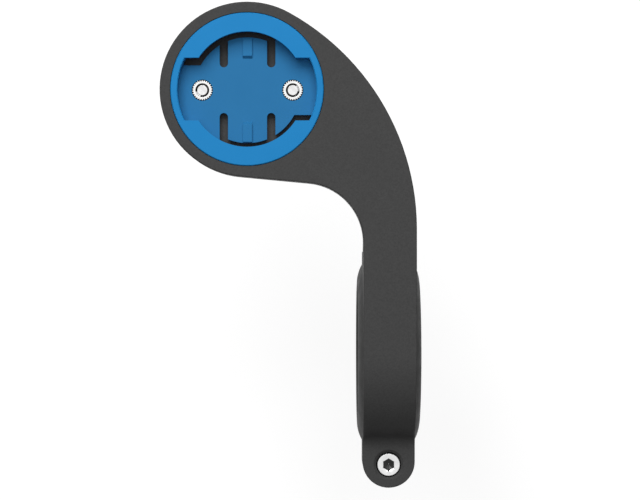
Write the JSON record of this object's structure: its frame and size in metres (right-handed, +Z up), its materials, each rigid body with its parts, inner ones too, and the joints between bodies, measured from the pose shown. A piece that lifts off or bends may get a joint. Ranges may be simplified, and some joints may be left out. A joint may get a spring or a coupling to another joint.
{
  "type": "bike computer mount",
  "caption": "Out-front handlebar mount with a hinged bar clamp, a curved one-piece arm and a round quarter-turn receiver for a cycling computer.",
  "frame": {"origin": "centre of the bar clamp's bore, on the handlebar's axis", "axes": "+X along the handlebar, +Y forward from the bar towards the head, +Z up out of the receiver"},
  "size_m": [0.0594, 0.1112, 0.042],
  "materials": {
    "black_nylon": "fine moulded texture, matte",
    "blue_plastic": "satin moulded",
    "steel": "bright stainless",
    "nickel": "bright nickel plate"
  },
  "bodies": {
    "mount": {"mount_body": "black_nylon", "hinge_pin": "steel", "receiver": "blue_plastic", "knurled_nut_left": "nickel", "knurled_nut_right": "nickel", "receiver_screw_left": "steel", "receiver_screw_right": "steel"},
    "jaw": {"clamp_jaw": "black_nylon", "clamp_nut": "steel"},
    "screw": {"clamp_screw": "steel"}
  },
  "joints": [
    {"name": "jaw_hinge", "type": "hinge", "parent": "mount", "child": "jaw", "pos_m": [0, 0.0202, 0], "axis": [1, 0, 0], "range_deg": [0, 90]},
    {"name": "clamp_screw_slide", "type": "slide", "parent": "mount", "child": "screw", "axis": [0, 0, 1], "range_m": [0, 0.012]}
  ],
  "couplings": [
    {"joint": "clamp_screw_slide", "follows": "jaw_hinge", "m_per_rad": 0.0075}
  ]
}
